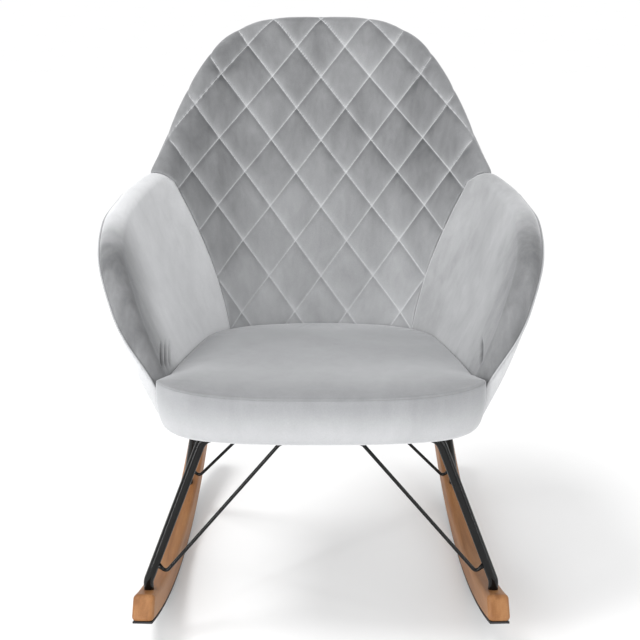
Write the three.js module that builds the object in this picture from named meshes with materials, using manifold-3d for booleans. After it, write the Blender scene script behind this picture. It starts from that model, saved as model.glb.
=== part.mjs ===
// Upholstered rocking chair: a quilted tub seat on two bent steel tube frames and beech rockers.
// Millimetres. +Z up, the seat faces -Y, and +X is the right-hand side seen from the front.
// The origin is on the floor, midway between the rockers and midway along them.
import * as THREE from "three";
import { mergeVertices } from "three/addons/utils/BufferGeometryUtils.js";
import Module from "manifold-3d";

const wasm = await Module();
wasm.setup();

const vec = (x, y, z) => new THREE.Vector3(x, y, z);
const { lerp, smoothstep } = THREE.MathUtils;

// ---------------------------------------------------------------- driving dimensions

const GAP = 0.4; // clearance between pieces that touch

// Inner wall of the tub: a plan line of three tangent arcs, leaning outwards as it rises.
const PLAN_Z = 420;
const PLAN_BACK_Y = 112;
const PLAN_ARCS = [
  { length: 101, turn: -0.24 },
  { length: 165, turn: -1.17 },
  { length: 350, turn: -0.15 },
];
const LEAN = { back: 0.3, side: 0.46, from: 60, to: 320 };
const CURL = { back: 0.00008, side: -0.00025 };

// Rim of the tub as (distance along the plan line, height above PLAN_Z).
const BACK_RIM = [
  [0, 535], [47, 534], [72, 530], [90, 523], [106, 512], [123, 488],
  [146, 437], [166, 388], [187, 339], [205, 306], [220, 284],
];
const ARM_RIM = [
  [220, 284], [252, 274], [298, 265], [363, 256], [405, 242], [440, 224], [466, 203],
  [483, 177], [495, 150], [506, 121], [515, 85], [521, 41], [521, 0], [519, -56],
];

// Layers of the tub wall, measured outwards from its inner face.
const WALL = 38;
const ROLL = WALL / 2; // radius of the padded rim
const PAD = 16;
const CORE = [18.4, 22.4];
const COVER = [24.6, WALL];
const PAD_RETURN = 27; // how far the padding wraps down behind the rim
const INSET = 31; // start of the plain wall, below the rim
const SEAM_BASE = [178, -20]; // lower end of the seam between back and arm
const SEAM_BOW = 11;
const PAD_FRONT_BASE = [400, -50];
const WALL_FOOT = -78.5; // level of the wall's lower edge, from the seat plane

// Piping on the arm's roll: it starts behind the rim and turns forward along the front of the arm.
const WELT = { radius: 1.6, behind: 2.5, ahead: 1.38, turnFrom: 0.62, turnTo: 0.86 };

// Seat: a plane that falls towards the back, with every layer measured down from it.
const SEAT_Z = 440;
const SEAT_FRONT_Y = -336;
const SEAT_SLOPE = 0.07;
const SEAT_CROWN = 12;
const CUSHION_DEPTH = 36;
const FOAM = [-63, -36.5];
const BOARD = { top: -65, thickness: 15 };
const DUST_COVER = { top: -80.5, thickness: 1.5 };
const FRONT_Y = -262; // where the straight sides give way to the bowed front
const FRONT_POWER = 2.5;
const BOXING = 10;
const BOXING_LEVELS = [
  { level: -82, halfWidth: 225, depth: 55 },
  { level: -76, halfWidth: 234, depth: 61 },
  { level: -64, halfWidth: 246, depth: 66 },
  { level: -40, halfWidth: 254, depth: 71 },
  { level: -7, halfWidth: 254, depth: 74 },
];
const BOXING_REACH = 1.49; // how far round the corner the boxing goes, as an angle of the bow
const CUSHION_CROWN = [[-6, 0], [-1, 0], [4, 5], [8, 18], [11, 45], [13, 90]]; // [level, inset]

// Rockers.
const ROCKER = { radius: 850, front: -324, rear: 376, middleY: -26, halfSpacing: 270, toeIn: 0.038 };
const ROCKER_SLANT = 12; // how much shorter a rocker is along its top than along its sole
const ROCKER_WIDTH = 35;
const ROCKER_HEIGHT = 40;
const STRIP = 3;
const STRIP_FACET = 32;

// Bent steel tube frames and their wire braces.
const TUBE = { radius: 8, bore: 6.5 };
const BEND = 26;
const SOCKET_DEPTH = 15;
const WIRE = 3;
const WIRE_BEND = 9;
const WIRE_TAIL = 14; // straight end of a brace under its crossbar
const WIRE_CLIMB = 13; // rise of a brace from its lower bend to the leg
const FRAMES = {
  front: { footY: -282, kneeRise: 16, top: [187, -245], brace: { rise: 30, start: 251, end: 65 } },
  rear: { footY: 145, kneeRise: 20, top: [218, 50], brace: { rise: 17, start: 241, end: 52 } },
};
const RAIL = { x: 118, width: 30, thickness: 4, top: -82.4, overhang: 22 };
const SEAT_BOLT = { shank: 3, head: 5.5, headHeight: 4, inset: 38, length: 16 };
const TEE_NUT = { barrel: 4.2, flange: 9, flangeHeight: 1.5, depth: 11 };
const ROCKER_BOLT = { shank: 3, head: 6, headHeight: 5, counterbore: 7, counterDepth: 9 };
const PLUG = { radius: 6, length: 24 };

// ---------------------------------------------------------------- materials

const FINISHES = {
  velvet: { rgb: [0.3, 0.31, 0.32], roughness: 0.85, metalness: 0 },
  foam: { rgb: [0.8, 0.75, 0.55], roughness: 0.95, metalness: 0 },
  cloth: { rgb: [0.02, 0.02, 0.022], roughness: 0.9, metalness: 0 },
  board: { rgb: [0.55, 0.38, 0.22], roughness: 0.7, metalness: 0 },
  beech: { rgb: [0.34, 0.16, 0.065], roughness: 0.5, metalness: 0 },
  rubber: { rgb: [0.015, 0.015, 0.016], roughness: 0.8, metalness: 0 },
  black_steel: { rgb: [0.012, 0.012, 0.013], roughness: 0.25, metalness: 0.1 },
  zinc: { rgb: [0.55, 0.55, 0.56], roughness: 0.35, metalness: 1 },
};

function finish(name) {
  const { rgb, roughness, metalness } = FINISHES[name];
  return new THREE.MeshStandardMaterial({ color: new THREE.Color(...rgb), roughness, metalness });
}

const chair = new THREE.Group();
chair.name = "rocking_chair";

function add(name, material, geometry) {
  geometry.computeVertexNormals();
  const mesh = new THREE.Mesh(geometry, finish(material));
  mesh.name = name;
  chair.add(mesh);
  return mesh;
}

// ---------------------------------------------------------------- solids from sections

// A closed solid through closed sections with the same number of points. Point i of a section
// faces point n-1-i, and the two end sections are capped across those pairs.
function loft(sections) {
  const n = sections[0].length;
  const points = sections.flat();
  const faces = [];
  for (let s = 0; s < sections.length - 1; s++) {
    for (let i = 0; i < n; i++) {
      const a = s * n + i;
      const b = s * n + ((i + 1) % n);
      const short = points[a].distanceTo(points[b + n]) <= points[b].distanceTo(points[a + n]);
      if (short) faces.push([a, b, b + n], [a, b + n, a + n]);
      else faces.push([a, b, a + n], [b, b + n, a + n]);
    }
  }
  const last = (sections.length - 1) * n;
  for (let i = 0; i < Math.floor((n - 1) / 2); i++) {
    const j = n - 1 - i;
    faces.push([i, j, i + 1], [last + i, last + i + 1, last + j]);
    if (j - 1 > i + 1) faces.push([i + 1, j, j - 1], [last + i + 1, last + j - 1, last + j]);
  }
  return facingOut(points, faces);
}

// Drops faces with no area and turns the whole skin outwards.
function facingOut(points, faces) {
  let volume = 0;
  const corners = [];
  for (const face of faces) {
    const [a, b, c] = face.map((i) => points[i]);
    if (a.distanceTo(b) < 1e-3 || b.distanceTo(c) < 1e-3 || c.distanceTo(a) < 1e-3) continue;
    volume += a.dot(vec().crossVectors(b, c));
    corners.push(face);
  }
  const index = volume > 0 ? corners.flat() : corners.flatMap(([a, b, c]) => [a, c, b]);
  const geometry = new THREE.BufferGeometry().setFromPoints(points);
  geometry.setIndex(index);
  return geometry;
}

function ring(centre, direction, radius, sides, across) {
  const u = across.clone().projectOnPlane(direction).normalize();
  const v = vec().crossVectors(direction, u);
  return Array.from({ length: sides }, (_, i) => {
    const angle = ((i + 0.5) / sides) * 2 * Math.PI;
    return centre
      .clone()
      .addScaledVector(u, radius * Math.cos(angle))
      .addScaledVector(v, radius * Math.sin(angle));
  });
}

// Directions at the points of a path, each halfway between its two neighbouring segments.
function directions(path) {
  return path.map((point, i) => {
    const before = path[Math.max(i - 1, 0)];
    const after = path[Math.min(i + 1, path.length - 1)];
    const into = point.clone().sub(before).normalize();
    const outOf = after.clone().sub(point).normalize();
    return into.add(outOf).normalize();
  });
}

// Rounds the corners of a polyline with short arcs.
function rounded(corners, radius, steps = 4) {
  const path = [corners[0]];
  for (let i = 1; i < corners.length - 1; i++) {
    const back = corners[i - 1].clone().sub(corners[i]);
    const on = corners[i + 1].clone().sub(corners[i]);
    const half = back.angleTo(on) / 2;
    const cut = Math.min(radius / Math.tan(half), back.length() * 0.45, on.length() * 0.45);
    const start = corners[i].clone().addScaledVector(back.normalize(), cut);
    const end = corners[i].clone().addScaledVector(on.normalize(), cut);
    const curve = new THREE.QuadraticBezierCurve3(start, corners[i], end);
    path.push(...curve.getPoints(steps));
  }
  path.push(corners[corners.length - 1]);
  return path;
}

function rod(path, radius, sides, across) {
  const along = directions(path);
  return loft(path.map((p, i) => ring(p, along[i], radius, sides, across)));
}

// A tube with open ends: its section runs down the outside and back up the bore.
function tube(path, radius, bore, sides, across) {
  const along = directions(path);
  const outer = path.map((p, i) => ring(p, along[i], radius, sides, across));
  const inner = path.map((p, i) => ring(p, along[i], bore, sides, across)).reverse();
  const rings = [...outer, ...inner];
  const faces = [];
  for (let r = 0; r < rings.length; r++) {
    const next = (r + 1) % rings.length;
    for (let i = 0; i < sides; i++) {
      const j = (i + 1) % sides;
      faces.push([r * sides + i, r * sides + j, next * sides + j]);
      faces.push([r * sides + i, next * sides + j, next * sides + i]);
    }
  }
  return facingOut(rings.flat(), faces);
}

// A turned solid about a vertical axis, from (radius, height) corners.
function turned(corners, segments = 12) {
  const profile = [...corners, corners[0]].map(([r, z]) => new THREE.Vector2(r, z));
  return new THREE.LatheGeometry(profile, segments).rotateX(Math.PI / 2);
}

function circlePath(x, y, radius) {
  const path = new THREE.Path();
  path.absarc(x, y, radius, 0, 2 * Math.PI, true);
  return path;
}

function solidOf(geometry) {
  const bare = new THREE.BufferGeometry();
  bare.setAttribute("position", geometry.getAttribute("position"));
  if (geometry.index) bare.setIndex(geometry.index);
  const merged = mergeVertices(bare, 1e-3);
  return new wasm.Manifold(
    new wasm.Mesh({
      numProp: 3,
      vertProperties: new Float32Array(merged.getAttribute("position").array),
      triVerts: new Uint32Array(merged.index.array),
    }),
  );
}

function cut(body, tools) {
  const result = wasm.Manifold.difference([solidOf(body), ...tools.map(solidOf)]).getMesh();
  const geometry = new THREE.BufferGeometry();
  geometry.setAttribute("position", new THREE.BufferAttribute(new Float32Array(result.vertProperties), 3));
  geometry.setIndex(Array.from(result.triVerts));
  return geometry;
}

// ---------------------------------------------------------------- the tub wall

// Point and heading on the plan line; the left side mirrors the right.
function plan(distance) {
  let rest = Math.abs(distance);
  let x = 0;
  let y = PLAN_BACK_Y;
  let heading = 0;
  PLAN_ARCS.forEach(({ length, turn }, i) => {
    const isLast = i === PLAN_ARCS.length - 1;
    const run = isLast ? rest : Math.min(rest, length);
    const bend = turn / length;
    const next = heading + bend * run;
    x += (Math.sin(next) - Math.sin(heading)) / bend;
    y -= (Math.cos(next) - Math.cos(heading)) / bend;
    heading = next;
    rest -= run;
  });
  return { x, y, heading };
}

// A point of the wall: distance along the plan line, height over it, depth behind the inner face.
function wall([distance, height], depth) {
  const { x, y, heading } = plan(distance);
  const toSide = smoothstep(Math.abs(distance), LEAN.from, LEAN.to);
  const lean = lerp(LEAN.back, LEAN.side, toSide);
  const curl = lerp(CURL.back, CURL.side, toSide);
  const slope = lean + 2 * curl * height;
  const tilt = Math.atan(slope);
  const out = lean * height + curl * height * height + depth * Math.cos(tilt);
  const across = x - Math.sin(heading) * out;
  const up = PLAN_Z + height - depth * Math.sin(tilt);
  return vec(distance < 0 ? -across : across, y + Math.cos(heading) * out, up);
}

const seatPlane = (y) => SEAT_Z - SEAT_SLOPE * (y - SEAT_FRONT_Y);

// Height at which the wall, at some depth, meets a level given from the seat plane.
function heightAtLevel(distance, level, depth) {
  let height = level;
  for (let pass = 0; pass < 4; pass++) {
    const { y, z } = wall([distance, height], depth);
    height += seatPlane(y) + level - z;
  }
  return height;
}

const mirrored = (points) => points.map(([a, h]) => [-a, h]).reverse();
const curve2 = (points) => new THREE.SplineCurve(points.map(([a, h]) => new THREE.Vector2(a, h)));
const rims = {
  back: curve2([...mirrored(BACK_RIM), ...BACK_RIM.slice(1)]),
  arm: curve2(ARM_RIM),
};

// Direction in the wall from a rim point towards the middle of its panel.
function inward(panel, t) {
  const tangent = rims[panel].getTangentAt(t);
  return new THREE.Vector2(tangent.y, -tangent.x);
}

// At the seam both panels turn inwards the same way, so that their edges match.
const SEAM_INWARD = inward("back", 1).add(inward("arm", 0)).normalize();

function rimInward(panel, t) {
  const own = inward(panel, t);
  if (panel === "arm") return own.lerp(SEAM_INWARD, smoothstep(1 - t, 0.85, 1)).normalize();
  const side = Math.abs(2 * t - 1);
  const seam = new THREE.Vector2(Math.sign(t - 0.5) * SEAM_INWARD.x, SEAM_INWARD.y);
  return own.lerp(seam, smoothstep(side, 0.92, 1)).normalize();
}

// A rib runs up the wall of a panel from its base to the inset line, then on to the rim.
// The padding stops just below the cushion, the other layers reach the underside.
function rib(panel, t, foot) {
  const rim = rims[panel].getPointAt(t);
  const into = rimInward(panel, t);
  const below = (d) => [rim.x + into.x * d, rim.y + into.y * d];
  const side = panel === "back" ? 2 * t - 1 : 1 - t;
  const distance = panel === "back" ? SEAM_BASE[0] * side : lerp(SEAM_BASE[0], PAD_FRONT_BASE[0], t);
  const padHeight = panel === "back" ? SEAM_BASE[1] : lerp(SEAM_BASE[1], PAD_FRONT_BASE[1], t);
  const top = below(INSET);
  const bow = SEAM_BOW * Math.sign(side) * Math.abs(side) ** 4;
  const at = (w, depth) => {
    const height = foot === "pad" ? padHeight : heightAtLevel(distance, WALL_FOOT, depth);
    return [lerp(distance, top[0], w) - bow * Math.sin(Math.PI * w ** 0.8), lerp(height, top[1], w)];
  };
  return { below, point: (w, depth) => wall(at(w, depth), depth) };
}

const steps = (n, from = 0, to = 1) => Array.from({ length: n + 1 }, (_, i) => lerp(from, to, i / n));
const RIB_STEPS = steps(5);
const BACK_STATIONS = steps(20);
const ARM_STATIONS = steps(17);
const SEAM_CLEAR = 0.0012; // trims each panel just short of the seam line

// Padding: inner face, rolled rim, and a short return down the back.
function padSection(line) {
  const roll = steps(5, 0, Math.PI).map((angle) =>
    wall(line.below(ROLL - ROLL * Math.sin(angle)), ROLL - ROLL * Math.cos(angle)),
  );
  return [
    ...RIB_STEPS.map((w) => line.point(w, 0)),
    ...roll,
    wall(line.below(PAD_RETURN), WALL),
    wall(line.below(PAD_RETURN), PAD),
    ...RIB_STEPS.map((w) => line.point(w, PAD)).reverse(),
  ];
}

function sheetSection(line, [inner, outer], start) {
  return [
    ...RIB_STEPS.map((w) => line.point(w, inner)),
    wall(line.below(start), inner),
    wall(line.below(start), outer),
    ...RIB_STEPS.map((w) => line.point(w, outer)).reverse(),
  ];
}

function mirrorX(geometry) {
  const copy = (geometry.index ? geometry.clone() : mergeVertices(geometry)).scale(-1, 1, 1);
  const index = copy.index.array;
  for (let i = 0; i < index.length; i += 3) [index[i + 1], index[i + 2]] = [index[i + 2], index[i + 1]];
  return copy;
}

function addPair(name, material, right) {
  add(`${name}_left`, material, mirrorX(right));
  add(`${name}_right`, material, right);
}

const trimmed = (t) => lerp(SEAM_CLEAR, 1 - SEAM_CLEAR, t);

add("back_pad", "velvet", loft(BACK_STATIONS.map((t) => padSection(rib("back", trimmed(t), "pad")))));
addPair("arm_pad", "velvet", loft(ARM_STATIONS.map((t) => padSection(rib("arm", trimmed(t), "pad")))));

const coverOf = (panel, t) => sheetSection(rib(panel, trimmed(t), "wall"), COVER, PAD_RETURN + 3 * GAP);
add("back_cover", "velvet", loft(BACK_STATIONS.map((t) => coverOf("back", t))));
addPair("side_cover", "velvet", loft(ARM_STATIONS.map((t) => coverOf("arm", t))));

// The moulded ply shell runs unbroken from one arm to the other.
const coreOf = (panel, t) => sheetSection(rib(panel, t, "wall"), CORE, INSET - GAP);
const armCore = ARM_STATIONS.slice(1).map((t) => coreOf("arm", t));
const backCore = BACK_STATIONS.map((t) => coreOf("back", t));
const otherArm = armCore
  .map((section) => section.map((p) => vec(-p.x, p.y, p.z)))
  .reverse();
add("shell_core", "board", loft([...otherArm, ...backCore, ...armCore]));

// Piping between the arm padding and its side cover, laid on the rolled rim.
function weltPoint(t) {
  const line = rib("arm", t, "pad");
  const angle = lerp(WELT.behind, WELT.ahead, smoothstep(t, WELT.turnFrom, WELT.turnTo));
  const reach = ROLL + WELT.radius + GAP;
  return wall(line.below(ROLL - reach * Math.sin(angle)), ROLL - reach * Math.cos(angle));
}
addPair("welt", "velvet", rod(steps(30, 0.03, 0.97).map(weltPoint), WELT.radius, 6, vec(0, 0.3, 1)));

// ---------------------------------------------------------------- the seat

const crown = (x) => SEAT_CROWN * (Math.abs(x) / 255) ** 4;

// The bowed front in plan: from the middle (angle 0) round to the corner (angle 90 degrees).
function bowed(angle, halfWidth, depth) {
  const power = 2 / FRONT_POWER;
  return [
    Math.sign(angle) * halfWidth * Math.abs(Math.sin(angle)) ** power,
    FRONT_Y - depth * Math.cos(angle) ** power,
  ];
}

const besideWall = (distance, level, clearance) =>
  wall([distance, heightAtLevel(distance, level, -clearance)], -clearance);

const SEAT_SIDE = 492; // last plan distance at which the seat follows the wall
const FRONT_ANGLE = 1.44;

// Closed outline of a seat layer, from the front middle round the right side and back.
function seatOutline(level, { halfWidth, depth, clearance, rise = () => 0 }) {
  const side = steps(13, SEAT_SIDE, 12).map((distance) => besideWall(distance, level, clearance));
  const front = steps(8, 0.06, FRONT_ANGLE).map((angle) => bowed(angle, halfWidth ?? side[0].x, depth));
  const half = [...front, ...side.map(({ x, y }) => [x, y])].map(([x, y]) =>
    vec(x, y, seatPlane(y) + level + rise(x, y)),
  );
  const other = half.map((p) => vec(-p.x, p.y, p.z)).reverse();
  return [...half, ...other];
}

const inset = (amount) => ({ halfWidth: 254 - amount, depth: 73.4 - amount, clearance: 1.2 + amount });

// Seat top: a block behind the boxing, then a lip out to the seam and the crown over it.
const behindBoxing = { depth: 60, clearance: 2 };
const cushionRows = [
  seatOutline(-CUSHION_DEPTH, behindBoxing),
  seatOutline(-7, { ...behindBoxing, rise: crown }),
  ...CUSHION_CROWN.map(([level, amount]) => seatOutline(level, { ...inset(amount), rise: crown })),
];
add("seat_cushion", "velvet", loft(cushionRows));

const foamRows = FOAM.map((level) => seatOutline(level, { depth: 50, clearance: 3 }));
add("seat_foam", "foam", loft(foamRows));

// Front boxing: a bowed band under the front seam, tucked in at its lower corners.
function boxingSection(angle) {
  const point = ({ level, halfWidth, depth }, inner) => {
    const [x, y] = bowed(angle, halfWidth - inner, depth - inner);
    const lift = smoothstep(level, -60, -7) * crown(x);
    return vec(x, y, seatPlane(y) + level - GAP + lift);
  };
  return [
    ...BOXING_LEVELS.map((row) => point(row, 0)),
    ...BOXING_LEVELS.map((row) => point(row, BOXING)).reverse(),
  ];
}
add("seat_boxing", "velvet", loft(steps(20, -BOXING_REACH, BOXING_REACH).map(boxingSection)));

// ---------------------------------------------------------------- flat parts under the seat

const TILT = Math.atan(SEAT_SLOPE);

// Places a part in the seat's own axes: across, along the slope, and square to it.
function onSeat(geometry, x, y, level) {
  return geometry.translate(x, y, level).rotateX(-TILT).translate(0, 0, seatPlane(0));
}

const crossbarY = [FRAMES.front.top[1], FRAMES.rear.top[1]];
const boltPlaces = [
  { name: "front_left", x: -RAIL.x, y: crossbarY[0] + SEAT_BOLT.inset },
  { name: "front_right", x: RAIL.x, y: crossbarY[0] + SEAT_BOLT.inset },
  { name: "rear_left", x: -RAIL.x, y: crossbarY[1] - SEAT_BOLT.inset },
  { name: "rear_right", x: RAIL.x, y: crossbarY[1] - SEAT_BOLT.inset },
];

const slab = (shape, depth) =>
  new THREE.ExtrudeGeometry(shape, { depth, bevelEnabled: false, curveSegments: 8 });

// A flat panel with a hole at each seat bolt.
function seatPanel({ top, thickness }, edge, hole) {
  const level = top - thickness;
  const shift = level * Math.sin(TILT);
  const outline = seatOutline(level, edge).map(({ x, y }) => new THREE.Vector2(x, y - shift));
  const shape = new THREE.Shape(outline);
  boltPlaces.forEach(({ x, y }) => shape.holes.push(circlePath(x, y, hole)));
  return onSeat(slab(shape, thickness), 0, 0, level);
}

add("seat_board", "board", seatPanel(BOARD, { depth: 44, clearance: 5 }, TEE_NUT.barrel + 0.3));
const dustEdge = { halfWidth: 204, depth: 45, clearance: -16 };
add("dust_cover", "cloth", seatPanel(DUST_COVER, dustEdge, SEAT_BOLT.shank + 1));

// Two flat rails lie on the crossbars and carry the seat bolts.
function rail(x) {
  const length = crossbarY[1] - crossbarY[0] + RAIL.overhang;
  const middle = (crossbarY[0] + crossbarY[1]) / 2;
  const w = RAIL.width / 2;
  const shape = new THREE.Shape([
    new THREE.Vector2(-w, -length / 2),
    new THREE.Vector2(w, -length / 2),
    new THREE.Vector2(w, length / 2),
    new THREE.Vector2(-w, length / 2),
  ]);
  for (const y of [crossbarY[0] + SEAT_BOLT.inset, crossbarY[1] - SEAT_BOLT.inset]) {
    shape.holes.push(circlePath(0, y - middle, SEAT_BOLT.shank + 0.5));
  }
  return onSeat(slab(shape, RAIL.thickness), x, middle, RAIL.top - RAIL.thickness);
}
add("rail_left", "black_steel", rail(-RAIL.x));
add("rail_right", "black_steel", rail(RAIL.x));

const THREAD_GAP = 0.15; // between a bolt and the thread that it turns in
const railUnderside = RAIL.top - RAIL.thickness;
for (const { name, x, y } of boltPlaces) {
  const { shank, head, headHeight, length } = SEAT_BOLT;
  const tip = headHeight + length;
  const bolt = turned([[0, 0], [head, 0], [head, headHeight], [shank, headHeight], [shank, tip], [0, tip]]);
  add(`seat_bolt_${name}`, "zinc", onSeat(bolt, x, y, railUnderside - headHeight - GAP));
  const { barrel, flange, flangeHeight, depth } = TEE_NUT;
  const bore = shank + THREAD_GAP;
  const nut = turned([
    [bore, -depth], [barrel, -depth], [barrel, GAP / 2],
    [flange, GAP / 2], [flange, flangeHeight], [bore, flangeHeight],
  ]);
  add(`tee_nut_${name}`, "zinc", onSeat(nut, x, y, BOARD.top));
}

// ---------------------------------------------------------------- tube frames and braces

const rockerX = (y) => ROCKER.halfSpacing - ROCKER.toeIn * (y - ROCKER.middleY);
const stripFacetAngle = STRIP_FACET / ROCKER.radius;
// Height of the rockers' centre: the middle facet of each strip rests on the floor.
const ARC_Z = ROCKER.radius * Math.cos(stripFacetAngle / 2);
const WOOD_RADIUS = ROCKER.radius - STRIP - GAP;
const topRadius = WOOD_RADIUS - ROCKER_HEIGHT;

function arcHeight(y, radius) {
  const along = y - ROCKER.middleY;
  return ARC_Z - Math.sqrt(radius * radius - along * along);
}

const rockerTop = (y) => arcHeight(y, topRadius);
const crossbarZ = (y) => seatPlane(y) + railUnderside - GAP - TUBE.radius / Math.cos(TILT);

function framePath({ footY, kneeRise, top: [topX, topY] }) {
  const x = rockerX(footY);
  const foot = rockerTop(footY);
  const z = crossbarZ(topY);
  const right = [
    vec(x, footY, foot - SOCKET_DEPTH + GAP),
    vec(x, footY, foot + kneeRise),
    vec(topX, topY, z),
  ];
  const left = right.map((p) => vec(-p.x, p.y, p.z)).reverse();
  return rounded([...right, ...left], BEND);
}

function bracePath({ footY, kneeRise, top: [topX, topY], brace }) {
  const x = rockerX(footY);
  const foot = rockerTop(footY);
  const barZ = crossbarZ(topY);
  const topZ = barZ - TUBE.radius - WIRE - GAP;
  const joint = brace.rise + WIRE_CLIMB;
  const overKnee = (joint - kneeRise) / (barZ - foot - kneeRise);
  const y = lerp(footY, topY, overKnee);
  const beside = 1.25 * TUBE.radius + GAP; // clears the leg, which slants across the wire
  const corners = [
    vec(lerp(x, topX, overKnee) - beside, y, foot + joint),
    vec(brace.start, y, foot + brace.rise),
    vec(brace.end, topY, topZ),
    vec(brace.end - WIRE_TAIL, topY, topZ),
  ];
  return rounded(corners, WIRE_BEND, 3);
}

for (const [end, frame] of Object.entries(FRAMES)) {
  add(`frame_${end}`, "black_steel", tube(framePath(frame), TUBE.radius, TUBE.bore, 10, vec(0, 1, 0)));
  addPair(`brace_${end}`, "black_steel", rod(bracePath(frame), WIRE, 8, vec(0, 1, 0)));
}

// ---------------------------------------------------------------- rockers

const arcAngle = (run) => Math.asin(run / ROCKER.radius);
const onArc = (radius, angle) =>
  new THREE.Vector2(radius * Math.sin(angle), ARC_Z - radius * Math.cos(angle));

// Side outline between two radii, drawn as (along, up) about the arc's lowest point.
function rockerOutline(outer, inner, from, to, slant, segments) {
  const back = slant / ROCKER.radius;
  return [
    ...steps(segments, from, to).map((angle) => onArc(outer, angle)),
    ...steps(segments, to - back, from + back).map((angle) => onArc(inner, angle)),
  ];
}

const ALONG_Y = new THREE.Matrix4().makeBasis(vec(0, 1, 0), vec(0, 0, 1), vec(1, 0, 0));

// Stands a side outline up along Y, turned in by the toe angle, at the right-hand side.
function standing(outline, width, bevel) {
  const bar = new THREE.ExtrudeGeometry(new THREE.Shape(outline), {
    depth: width - 2 * bevel,
    bevelEnabled: bevel > 0,
    bevelSize: bevel,
    bevelOffset: -bevel,
    bevelThickness: bevel,
    bevelSegments: 1,
    curveSegments: 1,
  });
  return bar
    .translate(0, 0, bevel - width / 2)
    .applyMatrix4(ALONG_Y)
    .rotateZ(ROCKER.toeIn)
    .translate(ROCKER.halfSpacing, ROCKER.middleY, 0);
}

const feet = Object.entries(FRAMES).map(([end, { footY }]) => ({
  end,
  x: rockerX(footY),
  y: footY,
  top: rockerTop(footY),
  under: arcHeight(footY, WOOD_RADIUS),
}));

// Socket for the tube from above, bolt hole, and a counterbore from below.
function footHole({ x, y, top, under }) {
  const socket = TUBE.radius + 0.3;
  const hole = ROCKER_BOLT.shank + 0.4;
  const floor = top - SOCKET_DEPTH;
  const seat = under + ROCKER_BOLT.counterDepth;
  return turned([
    [0, under - 12], [ROCKER_BOLT.counterbore, under - 12], [ROCKER_BOLT.counterbore, seat],
    [hole, seat], [hole, floor], [socket, floor], [socket, top + 12], [0, top + 12],
  ]).translate(x, y, 0);
}

const rockerEnds = [arcAngle(ROCKER.front), arcAngle(ROCKER.rear)];
const woodOutline = rockerOutline(WOOD_RADIUS, topRadius, ...rockerEnds, ROCKER_SLANT, 22);
const rocker = cut(standing(woodOutline, ROCKER_WIDTH, 2.5), feet.map(footHole));
addPair("rocker", "beech", rocker);

// Rubber strip: it follows the wood, with flat facets on the floor side and one facet level.
const stripEnds = [arcAngle(ROCKER.front + 3), arcAngle(ROCKER.rear - 3)];
const facetEdge = (end) => Math.trunc(end / stripFacetAngle - Math.sign(end) * 0.5) + Math.sign(end) * 0.5;
const [firstEdge, lastEdge] = stripEnds.map(facetEdge);
const stripAngles = [
  stripEnds[0],
  ...steps(lastEdge - firstEdge, firstEdge, lastEdge).map((edge) => edge * stripFacetAngle),
  stripEnds[1],
];
const stripOutline = [
  ...stripAngles.map((angle) => onArc(ROCKER.radius, angle)),
  ...[...stripAngles].reverse().map((angle) => onArc(WOOD_RADIUS + GAP, angle)),
];
addPair("rocker_strip", "rubber", standing(stripOutline, ROCKER_WIDTH - 4, 0));

for (const { end, x, y, top, under } of feet) {
  const { shank, head, headHeight, counterDepth } = ROCKER_BOLT;
  const seat = under + counterDepth - GAP;
  const plugBase = top - SOCKET_DEPTH + GAP + 1;
  const bolt = turned([
    [0, seat - headHeight], [head, seat - headHeight], [head, seat],
    [shank, seat], [shank, plugBase + PLUG.length - 3], [0, plugBase + PLUG.length - 3],
  ]).translate(x, y, 0);
  addPair(`rocker_bolt_${end}`, "zinc", bolt);
  const bore = shank + THREAD_GAP;
  const plug = turned([
    [bore, plugBase], [PLUG.radius, plugBase],
    [PLUG.radius, plugBase + PLUG.length], [bore, plugBase + PLUG.length],
  ]).translate(x, y, 0);
  addPair(`tube_plug_${end}`, "zinc", plug);
}

export default chair;
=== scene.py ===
import math

import bmesh
import bpy
import numpy as np
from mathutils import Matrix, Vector


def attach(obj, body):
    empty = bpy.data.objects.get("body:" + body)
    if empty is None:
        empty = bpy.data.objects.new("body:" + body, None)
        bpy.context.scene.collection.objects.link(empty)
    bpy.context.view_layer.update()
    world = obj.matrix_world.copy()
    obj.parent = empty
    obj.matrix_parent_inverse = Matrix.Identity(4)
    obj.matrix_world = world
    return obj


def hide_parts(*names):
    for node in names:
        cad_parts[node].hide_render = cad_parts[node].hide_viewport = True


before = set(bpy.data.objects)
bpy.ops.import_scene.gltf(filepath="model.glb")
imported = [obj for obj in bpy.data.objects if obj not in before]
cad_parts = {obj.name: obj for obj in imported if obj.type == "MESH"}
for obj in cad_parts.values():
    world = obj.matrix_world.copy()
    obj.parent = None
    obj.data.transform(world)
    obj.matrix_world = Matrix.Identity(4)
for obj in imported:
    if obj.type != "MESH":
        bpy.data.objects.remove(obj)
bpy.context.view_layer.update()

scene = bpy.context.scene

# ---------------------------------------------------------------- driving dimensions

# Inner wall of the tub: a plan line of three tangent arcs, leaning outwards as it rises.
PLAN_Z = 0.420
PLAN_BACK_Y = 0.112
PLAN_ARCS = [(0.101, -0.24), (0.165, -1.17), (0.350, -0.15)]  # (length, turn)
LEAN = {"back": 0.30, "side": 0.46, "from": 0.060, "to": 0.320}
CURL = {"back": 0.08, "side": -0.25}

# Rim of the tub as (distance along the plan line, height above PLAN_Z).
BACK_RIM = [
    (0.000, 0.535), (0.047, 0.534), (0.072, 0.530), (0.090, 0.523), (0.106, 0.512), (0.123, 0.488),
    (0.146, 0.437), (0.166, 0.388), (0.187, 0.339), (0.205, 0.306), (0.220, 0.284),
]
ARM_RIM = [
    (0.220, 0.284), (0.252, 0.274), (0.298, 0.265), (0.363, 0.256), (0.405, 0.242), (0.440, 0.224),
    (0.466, 0.203), (0.483, 0.177), (0.495, 0.150), (0.506, 0.121), (0.515, 0.085), (0.521, 0.041),
    (0.521, 0.000), (0.519, -0.056),
]

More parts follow.
